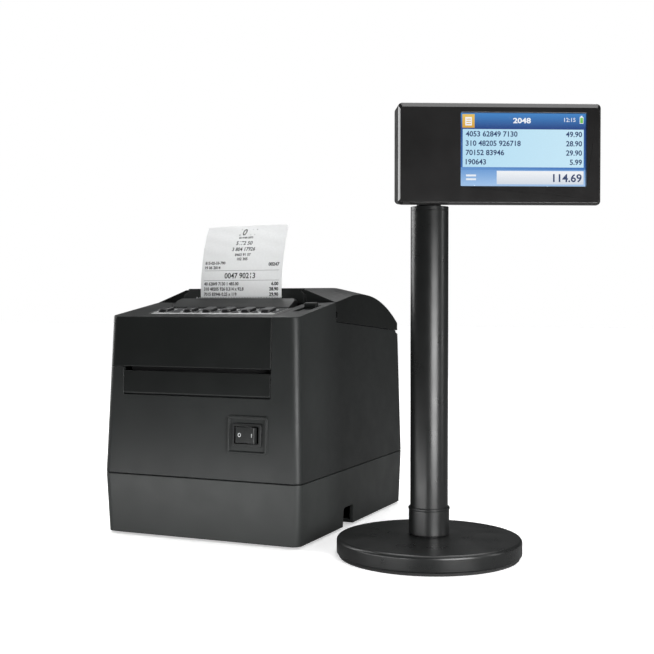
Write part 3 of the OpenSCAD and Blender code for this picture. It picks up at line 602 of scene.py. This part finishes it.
def make_window():
    """A thin clear window with a soft rim, in the bezel's opening."""
    thick = 0.8 * MM
    front = module_low.y - window_low.y
    matrix = SCREEN @ Matrix.Translation((screen_w / 2, screen_h / 2, front - thick))
    solid = Solid("display_window")
    rim = [(0.0, 0.0), (0.0, thick - 0.15 * MM), (0.08 * MM, thick - 0.04 * MM), (0.22 * MM, thick)]
    solid.loft([[(x, y, z) for x, y in rounded(screen_w - 2 * inset, screen_h - 2 * inset, 0.5 * MM)]
                for inset, z in rim], "lens")
    window = solid.piece(matrix, "head", sharp=radians(5))
    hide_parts("lcd_lens")


make_window()

BLUE_DARK = (0.010, 0.045, 0.22)
BLUE_MID = (0.035, 0.16, 0.50)
SKY_LIGHT = (0.60, 0.85, 0.98)
SKY = (0.50, 0.78, 0.95)
BAND_LOW = (0.38, 0.58, 0.86)
BAND_HIGH = (0.14, 0.33, 0.68)
M.update({
    "ui_back": lit("screen_edge", BLUE_MID, BLUE_DARK, 0, screen_h, "Y"),
    "ui_title": lit("screen_title", BLUE_DARK, (0.05, 0.24, 0.60), 0.79 * screen_h, screen_h, "Y"),
    "ui_list": lit("screen_list", SKY, SKY_LIGHT, 0, screen_w * 0.9, "X"),
    "ui_band": lit("screen_band", BAND_LOW, BAND_HIGH, 0, 0.24 * screen_h, "Y"),
    "ui_line": lit("screen_line", BAND_HIGH, BLUE_MID, 0, screen_w, "X"),
    "ui_box": lit("screen_box", (0.66, 0.72, 0.80), (0.93, 0.95, 0.97), 0.02 * screen_h, 0.2 * screen_h, "Y"),
    "ui_white": lit("screen_white", (0.85, 0.9, 0.95), (0.95, 0.97, 1.0), 0, screen_h, "Y"),
    "ui_navy": lit("screen_navy", (0.012, 0.03, 0.11), (0.02, 0.05, 0.15), 0, screen_h, "Y"),
    "ui_gold": lit("screen_gold", (0.72, 0.38, 0.03), (0.85, 0.58, 0.12), 0.8 * screen_h, screen_h, "Y"),
    "ui_green": lit("screen_green", (0.10, 0.50, 0.05), (0.35, 0.75, 0.15), 0.85 * screen_h, screen_h, "Y"),
})


def make_screen():
    """The picture on the screen as thin layers: a title bar, a list of prices and the total."""
    layer = 0.05 * MM
    w, h = screen_w, screen_h
    solid = Solid("screen_picture")

    def patch(x0, y0, x1, y1, level, material):
        solid.prism(rectangle(x0 * w, y0 * h, x1 * w, y1 * h), level * layer, (level + 1) * layer, material)

    patch(0, 0, 1, 1, 0.2, "ui_back")
    patch(0, 0.785, 1, 1, 1.3, "ui_title")
    patch(0.018, 0.262, 0.985, 0.782, 1.3, "ui_list")
    patch(0.0, 0.0, 1, 0.232, 1.3, "ui_band")
    patch(0.0, 0.236, 1, 0.258, 1.3, "ui_line")
    patch(0.29, 0.028, 0.985, 0.212, 2.4, "ui_box")
    # Gold tile with a plain slip of paper on it
    patch(0.015, 0.80, 0.112, 0.985, 2.4, "ui_gold")
    patch(0.038, 0.83, 0.090, 0.945, 3.5, "ui_white")
    for row in range(3):
        patch(0.046, 0.85 + 0.03 * row, 0.082, 0.862 + 0.03 * row, 4.6, "ui_gold")
    # Battery
    patch(0.952, 0.865, 0.982, 0.955, 2.4, "ui_white")
    patch(0.960, 0.955, 0.974, 0.972, 2.4, "ui_white")
    patch(0.956, 0.872, 0.978, 0.945, 3.5, "ui_green")
    # Plain sign for the sum
    for row in range(2):
        patch(0.045, 0.082 + 0.052 * row, 0.125, 0.108 + 0.052 * row, 2.4, "ui_white")
    thick = layer * 0.8

    def lifted(level):
        return lambda x, y, z: (x, y, z + level * layer)

    write(solid, "2048", 0.49 * w, 0.868 * h, 0.072 * h, "ui_white", "middle", lifted(2.4),
          thick=thick, squeeze=1.25, weight=0.03)
    write(solid, "12:15", 0.918 * w, 0.888 * h, 0.058 * h, "ui_white", "right", lifted(2.4), thick=thick)
    rows = (("4053 62849 7130", "49.90"), ("310 48205 926718", "28.90"),
            ("70152 83946", "29.90"), ("190643", "5.99"))
    for index, (code, price) in enumerate(rows):
        base = (0.682 - 0.1275 * index) * h
        for text, x, side in ((code, 0.042, "left"), (price, 0.972, "right")):
            write(solid, text, x * w, base, 0.074 * h, "ui_navy", side, lifted(2.4), thick=thick, weight=0.022)
    write(solid, "114.69", 0.970 * w, 0.065 * h, 0.110 * h, "ui_navy", "right", lifted(3.5), thick=thick,
          squeeze=1.05, weight=0.02)
    solid.piece(SCREEN, "head")


make_screen()


# ---------------------------------------------------------------- receipt

strip_low, strip_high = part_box("receipt")
CURL_RADIUS = 110 * MM
CURL_START = 13 * MM                  # straight length below the curl
strip_w = strip_high.x - strip_low.x
rise = strip_high.z - strip_low.z - CURL_START
curl_angle = atan2(rise, (CURL_RADIUS ** 2 - rise ** 2) ** 0.5)
strip_l = CURL_START + CURL_RADIUS * curl_angle
PAPER_THICK = 0.09 * MM
TEETH = 32


def on_strip(u, v, lift):
    """A point u across and v along the paper, lift in front of its printed face."""
    held = max(0.0, min(1.0, (v - CURL_START) / (strip_l - CURL_START)))
    share = 2 * u / strip_w
    # The free end cups a little and its edges waver, more towards the top
    cup = held ** 1.5 * (0.9 * MM * share * share + 0.25 * MM * sin(5 * share + 40 * v / strip_l))
    lean = held * held * 0.5 * MM * share
    along = max(0.0, v - CURL_START) / CURL_RADIUS
    radius = CURL_RADIUS + lift - cup
    y = strip_low.y + 0.1 * MM + CURL_RADIUS - radius * cos(along)
    z = strip_low.z + min(v, CURL_START) + radius * sin(along) + lean
    return (case_middle.x + u, y, z)


def make_receipt():
    """Curled thermal paper with a torn, toothed top edge."""
    columns, rows = 2 * TEETH, 84
    tooth = 0.75 * MM

    def length_at(column):
        return strip_l - 1.2 * MM - (tooth if column % 2 else 0)

    solid = Solid("receipt_slip")
    verts, faces = [], []
    for side in (0, 1):
        for row in range(rows + 1):
            for column in range(columns + 1):
                u = strip_w * (column / columns - 0.5)
                v = length_at(column) * row / rows
                verts.append(on_strip(u, v, -side * PAPER_THICK))
    layer = (rows + 1) * (columns + 1)

    def index(side, row, column):
        return side * layer + row * (columns + 1) + column

    for row in range(rows):
        for c in range(columns):
            quad = [(row, c), (row, c + 1), (row + 1, c + 1), (row + 1, c)]
            faces.append([index(0, r, k) for r, k in quad])
            faces.append([index(1, r, k) for r, k in quad[::-1]])
    border = ([(0, c) for c in range(columns)] + [(r, columns) for r in range(rows)]
              + [(rows, c) for c in range(columns, 0, -1)] + [(r, 0) for r in range(rows, 0, -1)])
    for (r0, c0), (r1, c1) in zip(border, border[1:] + border[:1]):
        faces.append([index(1, r0, c0), index(1, r1, c1), index(0, r1, c1), index(0, r0, c0)])
    solid.add(verts, faces, "paper")
    slip = solid.piece(Matrix(), "root", sharp=radians(60))
    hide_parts("receipt")


make_receipt()


def make_print():
    """Numerals and rules printed on the receipt."""
    solid = Solid("receipt_print")
    exit_v = 11.5 * MM                # where the paper leaves the cutter cover
    lift = 0.012 * MM
    ink_up = 0.02 * MM
    edge = strip_w / 2
    text_margin, rule_margin = 2.6 * MM, 2.4 * MM

    def place(x, y, z):
        return on_strip(x, y, z + lift)

    def line(text, above_mm, height_mm, align="left", at_mm=0.0, **style):
        x = {"left": -edge + text_margin, "right": edge - text_margin, "middle": 0}[align] + at_mm * MM
        write(solid, text, x, exit_v + above_mm * MM, height_mm * MM, "ink", align, place,
              thick=ink_up, **style)

    def rule(above_mm):
        steps, half, y = 24, 0.09 * MM, exit_v + above_mm * MM
        left, right = -edge + rule_margin, edge - rule_margin
        rings = []
        for i in range(steps + 1):
            x = left + (right - left) * i / steps
            rings.append([(x, y - half, 0), (x, y + half, 0), (x, y + half, ink_up), (x, y - half, ink_up)])
        solid.loft(rings, "ink", lambda p: place(*p))

    items = (("40 62849 7130 1 485.00", "6.00"), ("310 48205 926 0.314 x 92.8", "28.90"),
             ("7015 83946 0.25 x 119", "29.90"), ("190643 1 x 5.99", "5.99"))
    for row, (code, price) in enumerate(items):
        above = 7.4 - 3.7 * row
        line(code, above, 2.3, squeeze=0.9, weight=0.03)
        line(price, above, 2.3, "right", weight=0.045)
    rule(10.9)
    line("0047 90213", 12.4, 4.0, "middle", -1.0, squeeze=0.95, weight=0.02)
    rule(18.0)
    line("19 06 2014", 19.2, 2.1, weight=0.03)
    line("815-02-33-790", 22.6, 2.1, squeeze=0.95, weight=0.03)
    line("00247", 21.2, 2.4, "right", weight=0.04)
    line("102 305", 25.4, 2.0, "middle", weight=0.03)
    line("8463 91 57", 28.6, 2.0, "middle", weight=0.03)
    line("3 804 17926", 32.4, 2.7, "middle", slant=0.15, weight=0.02)
    line("5172 50", 36.9, 2.9, "middle", slant=0.15, weight=0.02)
    line("60 4186 2073", 41.9, 1.3, "middle", 0.6, weight=0.04, squeeze=1.15)
    line("10 11", 44.4, 4.9, "middle", 1.8, slant=0.3, weight=0.012)
    solid.piece(Matrix(), "root")


make_print()


# ---------------------------------------------------------------- socket contacts at the back

def make_contacts():
    """Sprung gold contacts in the two wide sockets and the tongue of the small one."""
    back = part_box("rear_ports")[1].y
    for number in (1, 2, 3):
        opening = next(o for o in frame["record"]["physics"]["openings"] if o["name"] == f"port_{number}")
        (x0, _, z0), (x1, _, z1) = opening["box_m"]
        middle_x, width, height = (x0 + x1) / 2, x1 - x0, z1 - z0
        solid = Solid(f"port_{number}_contacts")
        if number < 3:
            for i in range(8):
                x = middle_x + (i - 3.5) * 1.02 * MM
                path = [(back - 11.6 * MM, z1 + 0.3 * MM), (back - 9 * MM, z1 - 0.2 * MM),
                        (back - 5.5 * MM, z1 - 1.9 * MM), (back - 4.6 * MM, z1 - 2.1 * MM),
                        (back - 4.2 * MM, z1 - 1.8 * MM)]
                half, thin = 0.2 * MM, 0.2 * MM
                rings = [[(x - half, y, z), (x + half, y, z), (x + half, y, z + thin), (x - half, y, z + thin)]
                         for y, z in path]
                solid.loft(rings, "contact_gold")
        else:
            solid.loft([[(middle_x + sx * (width / 2 - 1.2 * MM), y, z0 + height / 2 + sz * 0.5 * MM)
                         for sx, sz in ((-1, -1), (1, -1), (1, 1), (-1, 1))]
                        for y in (back - 11.8 * MM, back - 3.2 * MM)], "port_black")
            for i in range(4):
                x = middle_x + (i - 1.5) * 1.2 * MM
                solid.loft([[(x + sx * 0.3 * MM, y, z0 + height / 2 + (0.5 + sz * 0.04) * MM)
                             for sx, sz in ((-1, -1), (1, -1), (1, 1), (-1, 1))]
                            for y in (back - 11.7 * MM, back - 3.4 * MM)], "contact_gold")
        solid.piece(Matrix(), "root")


make_contacts()


# ---------------------------------------------------------------- floor, light and camera

def stage_material(name, seen, cast, glow):
    """A floor that looks nearly white and throws back much less light than it shows."""
    s = Shader(name).set(Specular_IOR_Level=0.0, Roughness=0.9, Emission_Color=(1, 1, 1, 1))
    cloud = s.noise(3, 2)
    direct = s.nodes.new("ShaderNodeLightPath").outputs["Is Camera Ray"]
    s.links.new(s.maths("MULTIPLY", direct, glow), s.bsdf.inputs["Emission Strength"])
    mix = s.nodes.new("ShaderNodeMix")
    mix.data_type = "RGBA"
    s.links.new(direct, mix.inputs["Factor"])
    s.links.new(s.ramp(cloud, [(0.3, scaled(cast, 0.97)), (0.7, cast)]), mix.inputs["A"])
    s.links.new(s.ramp(cloud, [(0.3, scaled(seen, 0.995)), (0.7, seen)]), mix.inputs["B"])
    s.colour(mix.outputs["Result"])
    return s.material


def make_floor():
    """A plain floor that reaches past everything the camera sees."""
    half = 6.0
    mesh = bpy.data.meshes.new("studio_floor")
    mesh.from_pydata([(-half, -half, 0), (half, -half, 0), (half, half, 0), (-half, half, 0)], [],
                     [[0, 1, 2, 3]])
    mesh.materials.append(stage_material("floor_white", (0.86, 0.86, 0.86), (0.22, 0.22, 0.22), glow=0.47))
    floor = bpy.data.objects.new("studio_floor", mesh)
    SCENE.collection.objects.link(floor)


make_floor()


def make_world():
    """White to the camera; a dim, even studio for what the surfaces reflect."""
    world = bpy.data.worlds.new("studio")
    world.use_nodes = True
    SCENE.world = world
    nodes, links = world.node_tree.nodes, world.node_tree.links
    seen = nodes["Background"]
    seen.inputs["Color"].default_value = (1, 1, 1, 1)
    seen.inputs["Strength"].default_value = 1.0
    around = nodes.new("ShaderNodeBackground")
    around.inputs["Color"].default_value = (0.95, 0.98, 1.0, 1)
    around.inputs["Strength"].default_value = 0.05
    ray = nodes.new("ShaderNodeLightPath")
    mix = nodes.new("ShaderNodeMixShader")
    links.new(ray.outputs["Is Camera Ray"], mix.inputs["Fac"])
    links.new(around.outputs["Background"], mix.inputs[1])
    links.new(seen.outputs["Background"], mix.inputs[2])
    links.new(mix.outputs["Shader"], nodes["World Output"].inputs["Surface"])


make_world()


def softbox(name, place, target, width, height, power):
    """A rectangular lamp that faces its target and that the camera doesn't see."""
    data = bpy.data.lights.new(name, "AREA")
    data.shape = "RECTANGLE"
    data.size, data.size_y = width, height
    data.energy = power
    lamp = bpy.data.objects.new(name, data)
    SCENE.collection.objects.link(lamp)
    lamp.location = place
    lamp.rotation_euler = (Vector(target) - Vector(place)).to_track_quat("-Z", "Y").to_euler()
    lamp.visible_camera = False


def overhead_light():
    """A broad even light from above that keeps the floor white as far as the eye can see."""
    data = bpy.data.lights.new("overhead", "SUN")
    data.energy = 1.9
    data.angle = radians(55)
    lamp = bpy.data.objects.new("overhead", data)
    lamp.rotation_euler = (radians(-14), 0, 0)
    SCENE.collection.objects.link(lamp)


overhead_light()
softbox("low_front", (-0.11, -0.23, 0.010), (-0.09, -0.08, 0.02), 0.36, 0.02, 0.28)
softbox("corner_strip", (0.33, -0.29, 0.09), (-0.02, -0.06, 0.05), 0.22, 0.18, 1.9)
softbox("pole_left", (-1.1, -0.12, 0.75), (0.06, -0.06, 0.15), 0.2, 1.0, 6)
softbox("pole_right", (0.95, 0.16, 0.25), (0.06, -0.06, 0.12), 0.15, 0.8, 1.8)
softbox("behind", (-0.3, 1.0, 1.35), (-0.05, 0.1, 0.08), 0.9, 0.5, 7)
softbox("left_side", (-1.15, 0.30, 0.30), (-0.12, 0.03, 0.08), 0.6, 0.5, 4)


def paper_spot():
    """A narrow beam on the receipt alone."""
    data = bpy.data.lights.new("paper_spot", "SPOT")
    data.energy = 19
    data.spot_size = radians(9)
    data.spot_blend = 0.7
    data.shadow_soft_size = 0.05
    lamp = bpy.data.objects.new("paper_spot", data)
    SCENE.collection.objects.link(lamp)
    lamp.location = (0.15, -1.05, 0.62)
    target = Vector((case_middle.x, -0.01, cad_low.z + 0.212))
    lamp.rotation_euler = (target - lamp.location).to_track_quat("-Z", "Y").to_euler()


paper_spot()

CAMERA_AT = (0.29144, -0.74277, 0.16042)
CAMERA_TURN = radians(23.39)          # to the left of straight ahead
CAMERA_DOWN = radians(1.345)
camera = bpy.data.objects.new("camera", bpy.data.cameras.new("camera"))
SCENE.collection.objects.link(camera)
camera.location = CAMERA_AT
camera.rotation_euler = (radians(90) - CAMERA_DOWN, 0, CAMERA_TURN)
camera.data.lens = 63.30
camera.data.sensor_width = 36
camera.data.clip_start = 0.02
SCENE.camera = camera
SCENE.view_settings.view_transform = "Standard"
